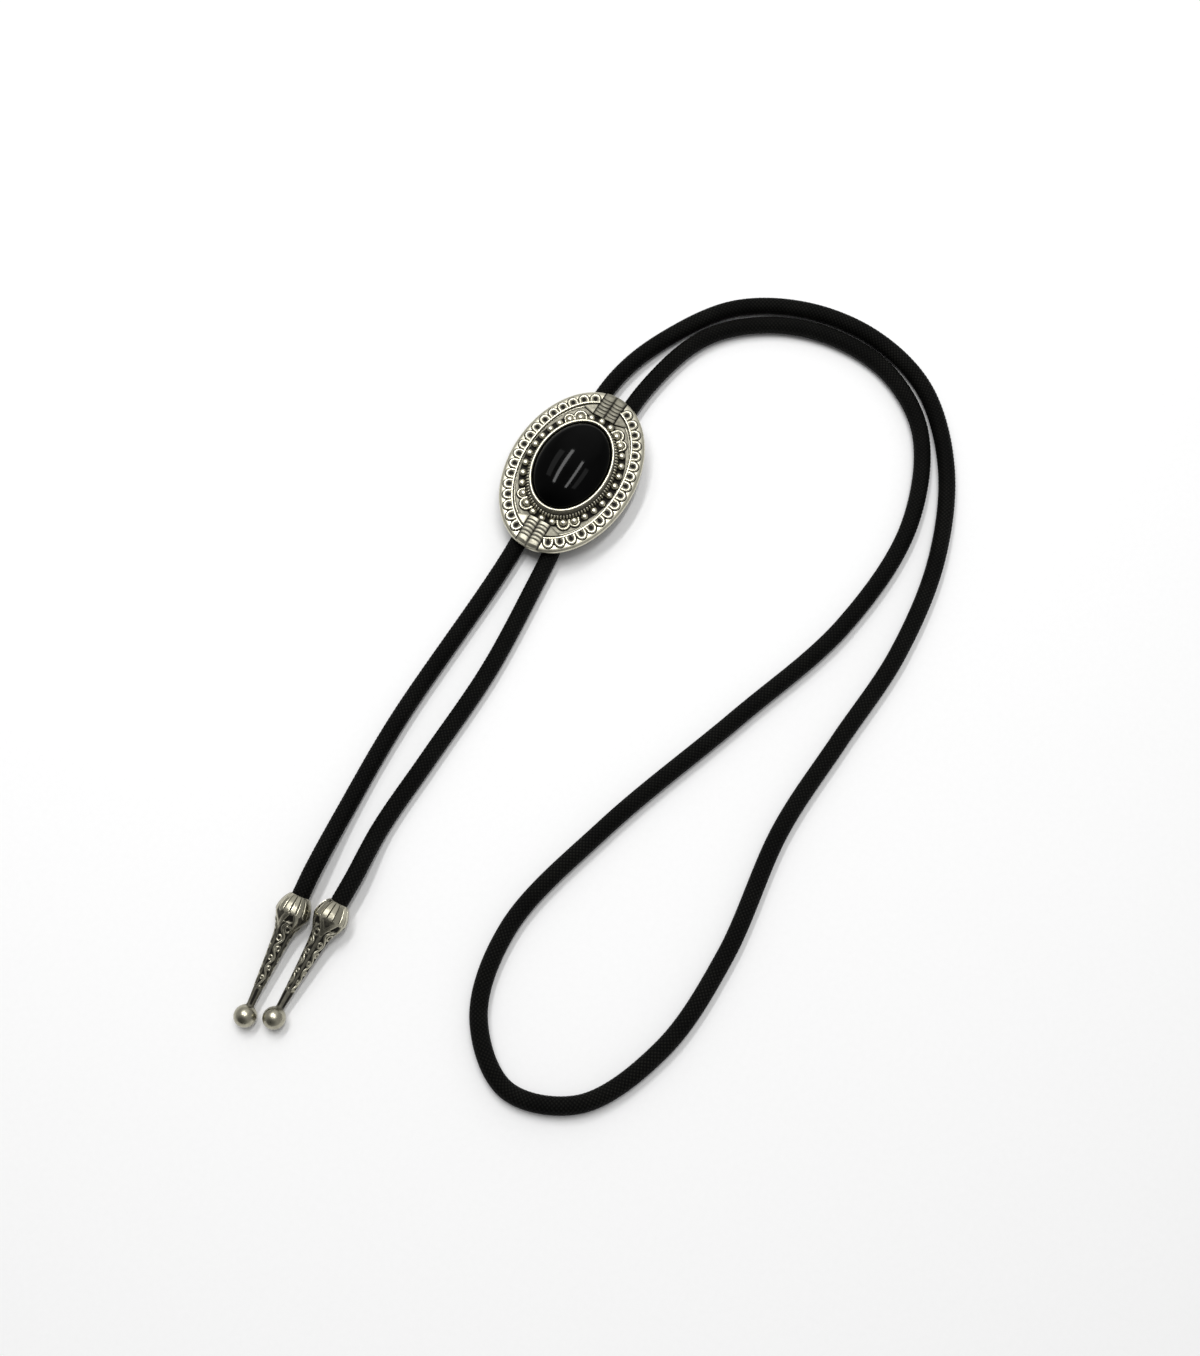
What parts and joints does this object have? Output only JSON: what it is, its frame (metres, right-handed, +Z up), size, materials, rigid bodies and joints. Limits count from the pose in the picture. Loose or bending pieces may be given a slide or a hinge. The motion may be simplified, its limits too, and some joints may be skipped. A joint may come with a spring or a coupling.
{
  "type": "bolo tie",
  "caption": "Bolo tie lying flat: oval cast slide with raised scallops and beads round a domed black stone, one long braided cord through its back clasp, a fluted metal tip on each end.",
  "frame": {"origin": "middle of the clasp's flat back, on the surface that the bolo tie lies on", "axes": "+Z up out of the slide's face, +Y along the slide's long axis towards the neck loop, +X to the side where the neck loop lies"},
  "size_m": [0.1196, 0.2488, 0.0151],
  "materials": {
    "slide_metal": "cast silver-tone metal, polished on its high places and blackened in its recesses",
    "stone": "polished opaque black stone with a high gloss",
    "clasp_metal": "plain satin metal",
    "cord_braid": "fine round braid in black with a slight sheen",
    "tip_metal": "darker antiqued cast metal, polished on its flutes and ball"
  },
  "bodies": {
    "root": {"slide_plate": "slide_metal", "stone": "stone", "clasp": "clasp_metal", "cord": "cord_braid", "tip_left": "tip_metal", "tip_right": "tip_metal"}
  },
  "joints": []
}
